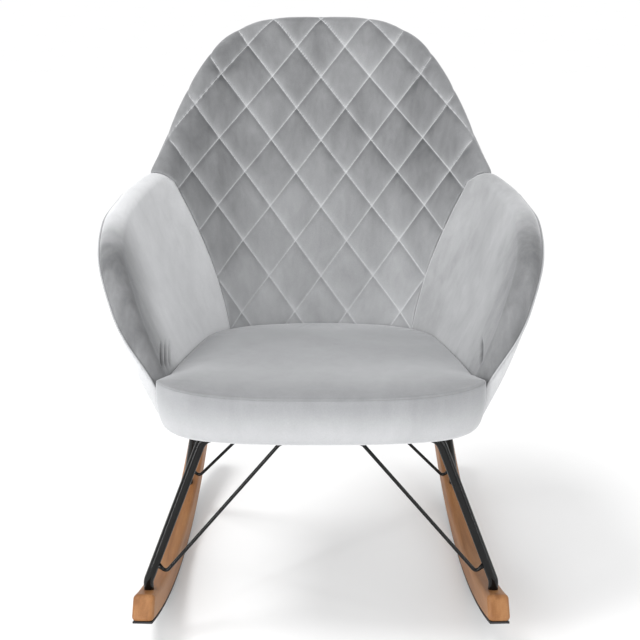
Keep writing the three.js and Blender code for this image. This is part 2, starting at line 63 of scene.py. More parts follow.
# Layers of the tub wall, measured outwards from its inner face.
WALL = 0.038
ROLL = WALL / 2  # radius of the padded rim
PAD = 0.016
COVER = (0.0248, WALL)
PAD_RETURN = 0.027  # how far the padding wraps down behind the rim
COVER_TOP = 0.0282  # upper edge of the outer cover, below the rim
INSET = 0.031  # start of the plain wall, below the rim
SEAM_BASE = (0.178, -0.020)  # lower end of the seam between back and arm
SEAM_BOW = 0.011
PAD_FRONT_BASE = (0.400, -0.050)
WALL_FOOT = -0.0785  # level of the wall's lower edge, from the seat plane

# Piping on the arm's roll: it starts behind the rim and turns forward along the front of the arm.
WELT = {"radius": 0.0016, "behind": 2.5, "ahead": 1.38, "turn_from": 0.62, "turn_to": 0.86}

# Diamond quilting, in distances measured over the curved wall.
QUILT_HALF_WIDTH = 0.04725
QUILT_FIRST_ROW = 0.010
QUILT_ROW = 0.0675
QUILT_ROW_SHRINK = 0.0007
QUILT_SPREAD = (0.978, 0.186, -0.0027)  # columns: share, change per metre up, change per column squared
QUILT_SIDE_RISE = (0.00087, 0.00046)  # lift of a row per column squared, and its fall per metre up
GROOVE = {"depth": 0.0046, "spread": 0.0075, "pillow": 0.0016}
# Painted light on the lower edge of each diamond, painted shade on its upper edge, and a painted highlight
# along each stitch line.
QUILT_SHADING = {"lower_edge": 0.25, "upper_edge": -0.16, "spread": 0.0075, "stitch": 0.32, "stitch_width": 0.0014}
SEAM_DIP = {"depth": 0.0030, "spread": 0.0040}
STITCH = 0.0045
THREAD = 0.00042

# Short creases low on each arm, as (distance, height, depth) of their middles.
CREASE_DIRECTION = (0.915, -0.402)
CREASES = {
    -1: [(0.478, 0.050, 0.0045), (0.461, 0.043, 0.0045), (0.444, 0.037, 0.0035)],
    1: [(0.476, 0.055, 0.0035)],
}
CREASE_LENGTH = 0.026
CREASE_WIDTH = 0.0036

# Seat: a plane that falls towards the back, with every layer measured down from it.
SEAT_Z = 0.440
SEAT_FRONT_Y = -0.336
SEAT_SLOPE = 0.07
SEAT_CROWN = 0.012
CROWN_REACH = 0.255  # x at which the seat is SEAT_CROWN higher than in its middle
SEAT_SEAM = 0.0012  # how far the top's seam lies inside its outline and under its plane
SEAT_SIDE = 0.492  # last plan distance at which the seat follows the wall
SEAT_HALF_WIDTH = 0.254
SEAT_BOW = 0.0734
FRONT_Y = -0.262  # where the straight sides give way to the bowed front
FRONT_POWER = 2.5
FRONT_ANGLE = 1.44
CUSHION_DEPTH = 0.036
FOAM = (-0.063, -0.0375)
BOXING = 0.010
BOXING_REACH = 1.49
BOXING_ROWS = [  # (level, half width, depth of the bow)
    (-0.0820, 0.212, 0.0520), (-0.0760, 0.230, 0.0600), (-0.0640, 0.245, 0.0660),
    (-0.0400, 0.2535, 0.0710), (-0.0150, 0.2545, 0.0738), (-0.0004, 0.254, 0.0735),
]
DUST_COVER = {"top": -0.0808, "thickness": 0.0010, "sag": 0.0010}

# Rockers, curved about a centre over their middle and turned in by the toe angle.
ROCKER = {"radius": 0.850, "front": -0.324, "rear": 0.376, "middle": -0.026, "half": 0.270, "toe": 0.038}
ROCKER_SIZE = (0.035, 0.040)
ROCKER_ROUND = 0.0070
ROCKER_END = 0.0075  # length over which the ends are rounded
ROCKER_SLANT = 0.012
STRIP = 0.003
STRIP_FACET = 0.032
GAP = 0.0004

# Bent tube frames and wire braces: a brace has its rise over the rocker and the x of its two bends.
TUBE = 0.008
BEND = 0.026
SOCKET = 0.015  # depth of a tube's foot in the rocker
WIRE = 0.003
WIRE_BEND = 0.014
WIRE_CLIMB = 0.013  # rise of a brace from its lower bend to the leg
WIRE_TAIL = 0.014
RAIL_UNDER = -0.0864
FRAMES = {
    "front": {"foot": -0.282, "knee": 0.016, "top": (0.187, -0.245), "brace": (0.030, 0.251, 0.065)},
    "rear": {"foot": 0.145, "knee": 0.020, "top": (0.218, 0.050), "brace": (0.017, 0.241, 0.052)},
}


def lerp(a, b, t):
    return a + (b - a) * t


def smoothstep(x, low, high):
    t = np.clip((x - low) / (high - low), 0, 1)
    return t * t * (3 - 2 * t)


# ---------------------------------------------------------------- camera

CAMERA_AT = (0, -1.878, 1.084)
CAMERA_PITCH = math.radians(18.6)
SENSOR = 36
FOCAL_SHARE = 1126 / 640  # focal length over the image's width

camera_data = bpy.data.cameras.new("camera")
camera_data.sensor_width = SENSOR
camera_data.lens = SENSOR * FOCAL_SHARE
camera_data.shift_x = -1 / 640
camera = bpy.data.objects.new("camera", camera_data)
camera.location = CAMERA_AT
camera.rotation_euler = (math.pi / 2 - CAMERA_PITCH, 0, 0)
scene.collection.objects.link(camera)
scene.camera = camera

# ---------------------------------------------------------------- material tools


class Shader:
    """A material being built. Each method adds a node and gives its output."""

    def __init__(self, name):
        self.made = bpy.data.materials.new(name)
        self.made.use_nodes = True
        self.nodes, self.links = self.made.node_tree.nodes, self.made.node_tree.links

    def feed(self, target, value):
        """Gives a socket a constant, or links it to another node's output."""
        if isinstance(value, bpy.types.NodeSocket):
            self.links.new(value, target)
        else:
            target.default_value = value

    def set(self, socket, value):
        self.feed(self.nodes["Principled BSDF"].inputs[socket], value)

    def node(self, kind, sockets):
        made = self.nodes.new(kind)
        for socket, value in sockets.items():
            self.feed(made.inputs[socket], value)
        return made

    def place(self):
        return self.node("ShaderNodeTexCoord", {}).outputs["Object"]

    def noise(self, scale, detail=3.0, stretch=(1, 1, 1), roughness=0.55, distortion=0.0):
        """A noise in the object's own metres, scale counted per metre along each axis."""
        mapping = self.node("ShaderNodeMapping", {"Vector": self.place(), "Scale": stretch})
        sockets = {"Scale": scale, "Detail": detail, "Roughness": roughness, "Distortion": distortion}
        sockets["Vector"] = mapping.outputs["Vector"]
        return self.node("ShaderNodeTexNoise", sockets).outputs["Fac"]

    def ramp(self, factor, stops):
        made = self.node("ShaderNodeValToRGB", {"Fac": factor})
        elements = made.color_ramp.elements
        while len(elements) < len(stops):
            elements.new(0.5)
        for element, (at, colour) in zip(elements, stops):
            element.position = at
            element.color = (*colour, 1)
        return made.outputs["Color"]

    def blend(self, factor, a, b, mode="MIX"):
        mix = self.nodes.new("ShaderNodeMix")
        mix.data_type, mix.blend_type = "RGBA", mode
        for name, value in (("Factor", factor), ("A", a), ("B", b)):
            target = [s for s in mix.inputs if s.name == name and s.enabled][0]
            self.feed(target, (*value, 1) if isinstance(value, tuple) else value)
        return [s for s in mix.outputs if s.enabled][0]

    def maths(self, operation, a, b=0.0, c=0.0):
        made = self.node("ShaderNodeMath", {0: a, 1: b, 2: c})
        made.operation = operation
        return made.outputs[0]

    def bump(self, height, distance, strength=1.0, under=None):
        sockets = {"Height": height, "Distance": distance, "Strength": strength}
        if under is not None:
            sockets["Normal"] = under
        normal = self.node("ShaderNodeBump", sockets).outputs["Normal"]
        self.set("Normal", normal)
        return normal

    def spread(self, factor, low, high):
        sockets = {"Value": factor, "To Min": low, "To Max": high}
        return self.node("ShaderNodeMapRange", sockets).outputs["Result"]


# ---------------------------------------------------------------- materials


def velvet(name, dark, light, patches=8.0, mottle=0.6):
    """Short-pile velvet: broad patches where the nap lies another way, fine streaks and an edge sheen.
    A point attribute of the mesh, from 0 to 1, carries painted light and shade, leaning the colour towards
    the lighter tone."""
    m = Shader(name)
    broad = m.noise(patches, 4, (1, 1, 0.55), 0.6, 0.9)
    streak = m.noise(55, 3, (1, 1, 0.3), 0.6, 0.4)
    fibre = m.noise(1500, 2)
    painted_shading = m.node("ShaderNodeAttribute", {})
    painted_shading.attribute_name = "painted_shading"
    lean = m.maths("MULTIPLY_ADD", broad, mottle, -mottle / 2)
    lean = m.maths("ADD", lean, painted_shading.outputs["Fac"])
    lean = m.maths("MULTIPLY_ADD", streak, 0.22, lean)
    lean = m.maths("SUBTRACT", lean, 0.11)
    tone = m.ramp(lean, [(0.0, dark), (1.0, light)])
    pile = m.ramp(fibre, [(0.3, (0.86, 0.86, 0.87)), (0.7, (1.08, 1.08, 1.08))])
    m.set("Base Color", m.blend(1.0, tone, pile, "MULTIPLY"))
    m.set("Roughness", m.spread(streak, 0.78, 0.95))
    m.set("Specular IOR Level", 0.12)
    m.set("Sheen Weight", 0.75)
    m.set("Sheen Roughness", 0.38)
    m.set("Sheen Tint", (0.97, 0.98, 1.0, 1))
    soft = m.bump(broad, 0.0015, 0.5)
    m.bump(fibre, 0.0002, 0.6, soft)
    return m.made


def beech(name):
    """Oiled beech with grain along the rocker, growth bands, and short dark ray flecks."""
    m = Shader(name)
    band = m.noise(1, 5, (55, 2.2, 38), 0.55, 0.5)
    grain = m.noise(1, 4, (900, 18, 700), 0.65)
    patch = m.noise(9, 3)
    fleck = m.noise(1, 2, (1500, 260, 620), 0.5)
    browns = [(0.30, (0.210, 0.088, 0.031)), (0.52, (0.302, 0.140, 0.054)), (0.75, (0.372, 0.188, 0.080))]
    tone = m.ramp(band, browns)
    shade = m.ramp(grain, [(0.30, (0.80, 0.78, 0.75)), (0.68, (1.07, 1.06, 1.05))])
    tone = m.blend(1.0, tone, shade, "MULTIPLY")
    warmth = m.ramp(patch, [(0.3, (1.02, 0.96, 0.90)), (0.7, (0.98, 1.0, 1.02))])
    tone = m.blend(0.7, tone, warmth, "MULTIPLY")
    mark = m.ramp(fleck, [(0.66, (0, 0, 0)), (0.74, (1, 1, 1))])
    m.set("Base Color", m.blend(m.maths("MULTIPLY", mark, 0.45), tone, (0.20, 0.09, 0.04)))
    m.set("Roughness", m.spread(grain, 0.38, 0.58))
    m.set("Specular IOR Level", 0.25)
    m.bump(grain, 0.00025, 0.5)
    return m.made


def plywood(name):
    m = Shader(name)
    layer = m.noise(1, 2, (3, 3, 420), 0.4)
    grain = m.noise(1, 4, (260, 9, 260), 0.6)
    tone = m.ramp(layer, [(0.4, (0.42, 0.28, 0.16)), (0.6, (0.62, 0.45, 0.28))])
    shade = m.ramp(grain, [(0.3, (0.82, 0.80, 0.77)), (0.7, (1.05, 1.05, 1.04))])
    m.set("Base Color", m.blend(1.0, tone, shade, "MULTIPLY"))
    m.set("Roughness", m.spread(grain, 0.6, 0.8))
    m.bump(grain, 0.0003, 0.5)
    return m.made


def lining(name):
    """Black non-woven lining cloth with a pressed dot pattern."""
    m = Shader(name)
    sockets = {"Vector": m.place(), "Scale": 420, "Randomness": 0.15}
    dots = m.node("ShaderNodeTexVoronoi", sockets).outputs["Distance"]
    m.set("Base Color", m.ramp(dots, [(0.2, (0.028, 0.028, 0.030)), (0.5, (0.012, 0.012, 0.013))]))
    m.set("Roughness", m.spread(m.noise(200, 4), 0.82, 0.97))
    m.bump(dots, 0.0004, 0.7)
    return m.made


def dressed(name, tone, stops, dulling, roughness, relief, constants=()):
    """A simple finish. tone, dulling and relief are noise settings for its colour, its roughness and
    its bumps, and relief is followed by the bumps' height and strength."""
    m = Shader(name)
    noises = {settings: m.noise(*settings) for settings in dict.fromkeys([tone, dulling, relief[0]])}
    m.set("Base Color", m.ramp(noises[tone], stops))
    m.set("Roughness", m.spread(noises[dulling], *roughness))
    m.bump(noises[relief[0]], *relief[1:])
    for socket, value in dict(constants).items():
        m.set(socket, value)
    return m.made


# The same velvet in five copies, with darker and lighter tones set piece by piece: painted light and shade
# for how each piece meets the light.
BACK_VELVET = velvet("velvet_back", (0.088, 0.090, 0.093), (0.560, 0.567, 0.576), mottle=0.45)
ARM_VELVET = velvet("velvet_arms", (0.090, 0.092, 0.095), (0.700, 0.706, 0.714), patches=6.0, mottle=0.45)
SEAT_VELVET = velvet("velvet_seat", (0.140, 0.143, 0.147), (0.400, 0.405, 0.412), patches=5.0, mottle=0.5)
FRONT_VELVET = velvet("velvet_front", (0.220, 0.225, 0.232), (0.480, 0.486, 0.494), patches=6.0, mottle=0.4)
COVER_VELVET = velvet("velvet_outside", (0.240, 0.244, 0.250), (0.600, 0.606, 0.614), patches=5.0)
BEECH = beech("beech_oiled")
PLYWOOD = plywood("plywood")
LINING = lining("lining_cloth")
BLACK_STEEL = dressed(
    "black_powder_coat", (30, 4), [(0.35, (0.002, 0.002, 0.002)), (0.7, (0.005, 0.005, 0.005))],
    (30, 4), (0.30, 0.42), ((420, 2), 0.00012, 0.25),
    {"Specular IOR Level": 0.02, "Coat Weight": 0.45, "Coat Roughness": 0.04},
)
SPANGLE = (380, 3, (1, 1, 1), 0.6, 1.2)
ZINC = dressed(
    "zinc_plate", SPANGLE, [(0.35, (0.45, 0.46, 0.47)), (0.7, (0.68, 0.69, 0.70))],
    SPANGLE, (0.26, 0.42), (SPANGLE, 0.0001, 0.4), {"Metallic": 1.0},
)
RUBBER = dressed(
    "black_rubber", (26, 4), [(0.4, (0.010, 0.010, 0.011)), (0.75, (0.030, 0.029, 0.028))],
    (26, 4), (0.70, 0.9), ((900, 3), 0.0003, 0.6),
)
FOAM_MATERIAL = dressed(
    "seat_foam", (12, 3), [(0.35, (0.74, 0.66, 0.42)), (0.7, (0.82, 0.77, 0.58))],
    (1300, 2), (0.85, 1.0), ((1300, 2), 0.0006, 0.9),
)
# Stitching thread: its own grey, set lighter than the velvet so it also stands in for the painted highlight
# along the quilt lines.
THREAD_MATERIAL = dressed(
    "thread", (2200, 2), [(0.35, (0.50, 0.51, 0.52)), (0.7, (0.72, 0.73, 0.74))],
    (2200, 2), (0.5, 0.75), ((2200, 2), 0.0001, 0.6),
)

# ---------------------------------------------------------------- mesh tools


def strip_faces(rows, columns, wrap):
    """Quads between the rows of a grid, as corner numbers."""
    row = np.arange(rows - 1)[:, None] * columns
    column = np.arange(columns if wrap else columns - 1)[None, :]
    after = (column + 1) % columns
    corners = [row + column, row + after, row + columns + after, row + columns + column]
    return np.stack(corners, -1).reshape(-1, 4).tolist()


def make_piece(name, points, faces, finish, flat=(), painted_shading=None, replaced=()):
    """A closed mesh as a piece of the chair. The faces listed in flat are added without smoothing."""
    mesh = bpy.data.meshes.new(name)
    mesh.from_pydata(np.asarray(points).reshape(-1, 3).tolist(), [], [*faces, *flat])
    if painted_shading is not None:
        layer = mesh.attributes.new("painted_shading", "FLOAT", "POINT")
        layer.data.foreach_set("value", np.asarray(painted_shading, np.float32).ravel())
    shell = bmesh.new()
    shell.from_mesh(mesh)
    bmesh.ops.recalc_face_normals(shell, faces=shell.faces)
    shell.to_mesh(mesh)
    shell.free()
    smooth = np.ones(len(mesh.polygons), bool)
    smooth[len(faces):] = False
    mesh.polygons.foreach_set("use_smooth", smooth)
    piece = bpy.data.objects.new(name, mesh)
    scene.collection.objects.link(piece)
    mesh.materials.append(finish)
    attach(piece, "root")
    if replaced:
        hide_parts(*replaced)
    return piece


def loft(name, grid, finish, painted_shading=None, replaced=()):
    """A closed solid through closed sections, with flat end caps."""
    rows, columns = grid.shape[:2]
    last = (rows - 1) * columns
    caps = [list(range(columns)), list(range(last, last + columns))]
    return make_piece(name, grid, strip_faces(rows, columns, True), finish, caps, painted_shading, replaced)


def unit(v):
    return v / np.maximum(np.linalg.norm(v, axis=-1, keepdims=True), 1e-12)


def sweep(path, section):
    """Sections along a path. section holds (across, up) offsets, in one row for each point of the
    path or in one for all."""
    path = np.asarray(path, float)
    ahead = unit(np.diff(path, axis=0, append=path[-1:] * 2 - path[-2:-1]))
    behind = unit(np.diff(path, axis=0, prepend=path[:1] * 2 - path[1:2]))
    along = unit(ahead + behind)
    normal = unit(np.cross(along[0], (0.0, 0.31, 0.95)))
    frames = []
    for direction in along:
        normal = unit(normal - direction * np.dot(normal, direction))
        frames.append((normal, np.cross(direction, normal)))
    across, up = np.array([f[0] for f in frames]), np.array([f[1] for f in frames])
    section = np.broadcast_to(section, (len(path), *np.shape(section)[-2:]))
    return path[:, None] + across[:, None] * section[..., :1] + up[:, None] * section[..., 1:]


def run_along(path):
    """Distance of each point of a path from its start."""
    return np.concatenate([[0], np.cumsum(np.linalg.norm(np.diff(path, axis=0), axis=1))])


def circle(radius, sides):
    angle = np.linspace(0, 2 * np.pi, sides, endpoint=False)
    ring = np.stack([np.cos(angle), np.sin(angle)], -1)
    return np.asarray(radius, float).reshape(-1, 1, 1) * ring


def rounded(corners, radius, steps=12):
    """A polyline whose corners are turned with short curves."""
    corners = [np.array(c, float) for c in corners]
    path = [corners[0]]
    for before, corner, after in zip(corners, corners[1:], corners[2:]):
        back, on = before - corner, after - corner
        lengths = np.linalg.norm(back), np.linalg.norm(on)
        half = math.acos(np.dot(back, on) / (lengths[0] * lengths[1])) / 2
        cut = min(radius / math.tan(half), lengths[0] * 0.45, lengths[1] * 0.45)
        start, end = corner + back / lengths[0] * cut, corner + on / lengths[1] * cut
        for t in np.linspace(0, 1, steps):
            path.append(start * (1 - t) ** 2 + corner * 2 * t * (1 - t) + end * t * t)
    path.append(corners[-1])
    return np.array(path)


SIDES = ((-1, "left"), (1, "right"))


def on_side(points, side):
    """Points of the right side, mirrored where side is -1."""
    return points * (side, 1, 1)


# ---------------------------------------------------------------- the tub wall


def plan(distance):
    """x, y and heading on the plan line, for the right side."""
    rest = np.abs(distance)
    x, y, heading = np.zeros_like(rest), np.full_like(rest, PLAN_BACK_Y), np.zeros_like(rest)
    for number, (length, turn) in enumerate(PLAN_ARCS):
        run = rest if number == len(PLAN_ARCS) - 1 else np.minimum(rest, length)
        bend = turn / length
        turned = heading + bend * run
        x = x + (np.sin(turned) - np.sin(heading)) / bend
        y = y - (np.cos(turned) - np.cos(heading)) / bend
        heading, rest = turned, rest - run
    return x, y, heading


def leaning(distance):
    to_side = smoothstep(np.abs(distance), LEAN["from"], LEAN["to"])
    return lerp(LEAN["back"], LEAN["side"], to_side), lerp(CURL["back"], CURL["side"], to_side)


def wall(distance, height, depth):
    """Points of the wall: distance along the plan line, height over it, depth behind the inner face."""
    given = (np.asarray(v, float) for v in (distance, height, depth))
    distance, height, depth = np.broadcast_arrays(*given)
    x, y, heading = plan(distance)
    lean, curl = leaning(distance)
    tilt = np.arctan(lean + 2 * curl * height)
    out = lean * height + curl * height**2 + depth * np.cos(tilt)
    across = np.where(distance < 0, -1, 1) * (x - np.sin(heading) * out)
    return np.stack([across, y + np.cos(heading) * out, PLAN_Z + height - depth * np.sin(tilt)], -1)


def seat_plane(y):
    return SEAT_Z - SEAT_SLOPE * (y - SEAT_FRONT_Y)


def height_at_level(distance, level, depth):
    """Height at which the wall, at some depth, meets a level given from the seat plane."""
    height = np.full(np.broadcast(distance, level, depth).shape, level, float)
    for _ in range(5):
        point = wall(distance, height, depth)
        height = height + seat_plane(point[..., 1]) + level - point[..., 2]
    return height


def spline(points, fine=80):
    """A smooth curve through the points and the share of its length at each step."""
    p = np.array(points, float)
    t = np.linspace(0, 1, fine, endpoint=False)[:, None]
    rows = []
    for i in range(len(p) - 1):
        p0, p1, p2, p3 = p[max(i - 1, 0)], p[i], p[i + 1], p[min(i + 2, len(p) - 1)]
        v1, v2 = (p2 - p0) / 2, (p3 - p1) / 2
        rows.append((2 * (p1 - p2) + v1 + v2) * t**3 + (3 * (p2 - p1) - 2 * v1 - v2) * t**2 + v1 * t + p1)
    path = np.vstack([*rows, p[-1:]])
    run = run_along(path)
    return path, run / run[-1]


RIMS = {
    "back": spline([(-a, h) for a, h in reversed(BACK_RIM)] + BACK_RIM[1:]),
    "arm": spline(ARM_RIM),
}


def on_rim(panel, t):
    path, share = RIMS[panel]
    return np.stack([np.interp(t, share, path[:, k]) for k in (0, 1)], -1)


def inward(panel, t):
    """Direction in the wall from a rim point towards the middle of its panel."""
    step = 0.004
    tangent = unit(on_rim(panel, np.minimum(t + step, 1)) - on_rim(panel, np.maximum(t - step, 0)))
    return np.stack([tangent[..., 1], -tangent[..., 0]], -1)


SEAM_INWARD = unit(inward("back", np.array(1.0)) + inward("arm", np.array(0.0)))


def rim_inward(panel, t):
    own = inward(panel, t)
    if panel == "arm":
        return unit(lerp(own, SEAM_INWARD, smoothstep(1 - t, 0.85, 1)[..., None]))
    seam = SEAM_INWARD * np.stack([np.sign(t - 0.5), np.ones_like(t)], -1)
    return unit(lerp(own, seam, smoothstep(np.abs(2 * t - 1), 0.92, 1)[..., None]))


class Ribs:
    """Lines up the wall of a panel, one for each t, from the base to the rim. Each method gives
    (distance, height) with one row for each rib."""

    def __init__(self, panel, t, foot):
        self.t = np.asarray(t, float)[:, None]
        self.rim = on_rim(panel, self.t)
        self.into = rim_inward(panel, self.t)
        self.foot = foot
        if panel == "back":
            self.side = 2 * self.t - 1
            self.base = SEAM_BASE[0] * self.side
            self.pad_base = np.full_like(self.t, SEAM_BASE[1])
        else:
            self.side = 1 - self.t
            self.base = lerp(SEAM_BASE[0], PAD_FRONT_BASE[0], self.t)
            self.pad_base = lerp(SEAM_BASE[1], PAD_FRONT_BASE[1], self.t)

    def below(self, drop):
        place = self.rim + self.into * np.asarray(drop, float)[..., None]
        return place[..., 0], place[..., 1]

    def up(self, w, depth):
        w = np.asarray(w, float)
        top_distance, top_height = self.below(INSET)
        bow = SEAM_BOW * np.sign(self.side) * self.side**4
        height = self.pad_base if self.foot == "pad" else height_at_level(self.base, WALL_FOOT, depth)
        return lerp(self.base, top_distance, w) - bow * np.sin(np.pi * w**0.8), lerp(height, top_height, w)


def quilt_lines(distance, height):
    """Column and row numbers of the diamond lattice at points of the wall: stitch lines run where
    column + row or column - row is odd. Also the row number's step per metre."""
    heading = plan(distance)[2]
    lean, curl = leaning(distance)
    out = lean * height + curl * height**2
    up = height * np.hypot(1, lean + curl * height)
    column = np.sign(distance) * (np.abs(distance) + out * np.abs(heading)) / QUILT_HALF_WIDTH
    up = up - (QUILT_SIDE_RISE[0] - QUILT_SIDE_RISE[1] * up) * column**2
    column = column * (QUILT_SPREAD[0] + QUILT_SPREAD[1] * height + QUILT_SPREAD[2] * column**2)
    root = np.sqrt(np.maximum(QUILT_ROW**2 - 4 * QUILT_ROW_SHRINK * (up - QUILT_FIRST_ROW), 1e-8))
    return column, (QUILT_ROW - root) / (2 * QUILT_ROW_SHRINK), 1 / root


def from_line(number, step):
    """Distance in metres from the nearest odd line."""
    return np.abs(np.mod(number, 2) - 1) / np.hypot(1 / QUILT_HALF_WIDTH, step)


def quilted(distance, height):
    """How far the padding stands out: sharp stitched grooves with soft shoulders between low pillows."""
    column, row, step = quilt_lines(distance, height)
    grooves, pillow = [], 1.0
    for number in (column + row, column - row):
        away = from_line(number, step)
        grooves.append(1 - np.exp(-away / GROOVE["spread"]))
        pillow = pillow * np.abs(np.cos(np.pi / 2 * (np.mod(number, 2))))
    return GROOVE["pillow"] * pillow**0.5 - GROOVE["depth"] * (1 - grooves[0] * grooves[1])


def edge_distance(grid):
    """Distance over the surface from the first or the last row of a grid, whichever is nearer."""
    steps = np.linalg.norm(np.diff(grid, axis=0), axis=-1)
    run = np.concatenate([np.zeros((1, grid.shape[1])), np.cumsum(steps, axis=0)])
    return np.minimum(run, run[-1:] - run)


def seam_dip(away):
    return SEAM_DIP["depth"] * np.exp(-away / SEAM_DIP["spread"])


def creased(distance, height, side):
    """Short pulled folds in the cloth low on an arm."""
    total = np.zeros_like(distance)
    dx, dy = CREASE_DIRECTION
    for along, up, depth in CREASES[side]:
        x, y = distance - along, height - up
        length, width = x * dx + y * dy, y * dx - x * dy
        fold = np.exp(-((length / CREASE_LENGTH) ** 4)) * np.exp(-((width / CREASE_WIDTH) ** 2))
        total = total - depth * fold
    return total


def pad_solid(panel, stations, inner_steps, relief):
    """A padded panel: inner face, rolled rim, return behind it, and the flat back. relief gives how
    far the cloth stands out at (distance, height) and at a distance from the panel's seams."""
    ribs = Ribs(panel, stations, "pad")
    w = np.linspace(0, 1, inner_steps)[None]
    inner = ribs.up(w, 0)
    brink = ribs.below(np.linspace(INSET, ROLL, 8)[None, 1:-1])
    turn = np.linspace(0, np.pi, 26)[None]
    over = ribs.below(ROLL - ROLL * turn)
    flat_a = np.concatenate([inner[0], brink[0], over[0]], 1)
    flat_h = np.concatenate([inner[1], brink[1], over[1]], 1)
    face = wall(flat_a, flat_h, 0)
    away = edge_distance(face)
    angle = np.concatenate([np.zeros((1, inner_steps + 6)), turn], 1)
    fade = 1 - smoothstep(angle, 1.9, 2.7)
    stand = relief(flat_a, flat_h, away, angle) * fade
    lip = seam_dip(away[:, -turn.size:])
    over_radius = ROLL + stand[:, -turn.size:] - lip
    roll = ribs.below(ROLL - over_radius * np.sin(turn))
    outer = ribs.up(np.linspace(1, 0, 14)[None], PAD)
    back = ribs.below(np.array([[PAD_RETURN, PAD_RETURN]]))
    front_dip = seam_dip(away[:, :-turn.size])
    a = np.concatenate([flat_a[:, :-turn.size], roll[0], back[0], outer[0]], 1)
    h = np.concatenate([flat_h[:, :-turn.size], roll[1], back[1], outer[1]], 1)
    rows = len(stations)
    depth = np.concatenate(
        [
            front_dip - stand[:, :-turn.size],
            ROLL - over_radius * np.cos(turn),
            np.broadcast_to([[WALL - 0.0004, PAD]], (rows, 2)),
            np.full((rows, 14), PAD),
        ],
        1,
    )
    return wall(a, h, depth), (flat_a, flat_h, angle, away)


def seam_stations(count):
    """Station shares that crowd towards both seams."""
    t = np.linspace(0, 1, count)
    return lerp(0.0012, 0.9988, t - 0.07 * np.sin(2 * np.pi * t) / (2 * np.pi))


# ---------------------------------------------------------------- the quilted back

BACK_ROWS, BACK_STEPS = 320, 250
PLAIN_SHADING = 0.32  # painted shading of the back where it isn't quilted


def back_relief(distance, height, away, angle):
    return quilted(distance, height) * lerp(0.16, 1, 1 - smoothstep(angle, 0.1, 1.25))


def seam_highlight(away, strength):
    """Painted highlight along a seam, where the pile catches the light."""
    return strength * np.exp(-((away / 0.0022) ** 2))


def quilt_shading(distance, height):
    """Painted light on the lower edge of each diamond and painted shade on its upper edge, with a painted
    highlight along each stitch line, painted light low on the back and painted shade in the outer columns
    next to the arms.
    """
    column, row, step = quilt_lines(distance, height)
    painted_shading = 0.27 + 0.33 * (1 - smoothstep(height, 0.02, 0.34)) - 0.08 * smoothstep(np.abs(column), 2.6, 3.9)
    for number, up in ((column + row, 1), (column - row, -1)):
        above = up * (np.mod(number, 2) - 1) / np.hypot(1 / QUILT_HALF_WIDTH, step)
        near = np.exp(-np.abs(above) / QUILT_SHADING["spread"])
        painted_shading = painted_shading + np.where(above > 0, QUILT_SHADING["lower_edge"], QUILT_SHADING["upper_edge"]) * near
        painted_shading = painted_shading + QUILT_SHADING["stitch"] * np.exp(-((above / QUILT_SHADING["stitch_width"]) ** 2))
    return np.clip(painted_shading, 0, 1)


back_grid, places = pad_solid("back", seam_stations(BACK_ROWS), BACK_STEPS, back_relief)
back_a, back_h, back_turn, back_away = places
# Painted light and shade of the back: the quilt's, faded over the roll, with a painted highlight along the
# seams.
quilt_share = 1 - 0.6 * smoothstep(back_turn, 0.3, 1.5)
back_shading = np.full(back_grid.shape[:2], PLAIN_SHADING)
back_shading[:, : back_a.shape[1]] = lerp(PLAIN_SHADING, quilt_shading(back_a, back_h), quilt_share)
back_shading[:, : back_a.shape[1]] += seam_highlight(back_away, 0.20)
back_pad = loft("back_quilted", back_grid, BACK_VELVET, back_shading, ["back_pad"])


def neighbours(grid, axis):
    """Each entry of a grid and the entry after it, along one axis."""
    return (grid[:-1], grid[1:]) if axis == 0 else (grid[:, :-1], grid[:, 1:])


def stitch_paths():
    """Each stitched line of the quilt as a path on the pad's surface, sorted along its length."""
    surface = back_grid[:, : back_a.shape[1]]
    column, row, _ = quilt_lines(back_a, back_h)
    shown = (back_turn < 1.2) & (back_away > 0.003)
    for number in (column + row, column - row):
        for line in range(-15, 16, 2):
            points, places = [], []
            for axis in (0, 1):
                low, high = neighbours(number, axis)
                crossed = ((low - line) * (high - line) <= 0) & (low != high)
                crossed &= np.logical_and(*neighbours(shown, axis))
                share = ((line - low[crossed]) / (high[crossed] - low[crossed]))[:, None]
                before, after = neighbours(surface, axis)
                points.append(lerp(before[crossed], after[crossed], share))
                before, after = neighbours(row, axis)
                places.append(lerp(before[crossed], after[crossed], share[:, 0]))
            order = np.argsort(np.concatenate(places))
            if len(order) > 24:
                yield np.concatenate(points)[order]


def stitched(paths, name):
    """Thread laid along paths in short stitches that dive into the cloth at each end."""
    points, faces, offset = [], [], 0
    for path in paths:
        run = run_along(path)
        at = np.arange(0, run[-1], STITCH / 4)
        line = np.stack([np.interp(at, run, path[:, k]) for k in range(3)], -1)
        for _ in range(6):
            line[1:-1] = (line[:-2] + 2 * line[1:-1] + line[2:]) / 4
        phase = np.abs(np.sin(np.pi * (at / STITCH)))
        tube = sweep(line + (0, -0.0003, 0.0001), circle(THREAD * (0.35 + 0.65 * phase**0.5), 6))
        points.append(tube.reshape(-1, 3))
        count = len(line)
        faces += (np.array(strip_faces(count, 6, True)) + offset).tolist()
        faces += [list(range(offset, offset + 6)), list(range(offset + 6 * count - 6, offset + 6 * count))]
        offset += 6 * count
    return make_piece(name, np.vstack(points), faces, THREAD_MATERIAL)


stitched(stitch_paths(), "quilt_thread")

# ---------------------------------------------------------------- the arms


def arm_relief(side):
    def relief(distance, height, away, angle):
        swell = 0.0030 * smoothstep(away, 0.0, 0.07) * (1 - smoothstep(angle, 0.0, 1.2))
        return swell + creased(distance, height, side)

    return relief


def welt_angle(t):
    """Where the piping lies on the roll: behind the rim at first, then turned forward at the front."""
    return lerp(WELT["behind"], WELT["ahead"], smoothstep(t, WELT["turn_from"], WELT["turn_to"]))


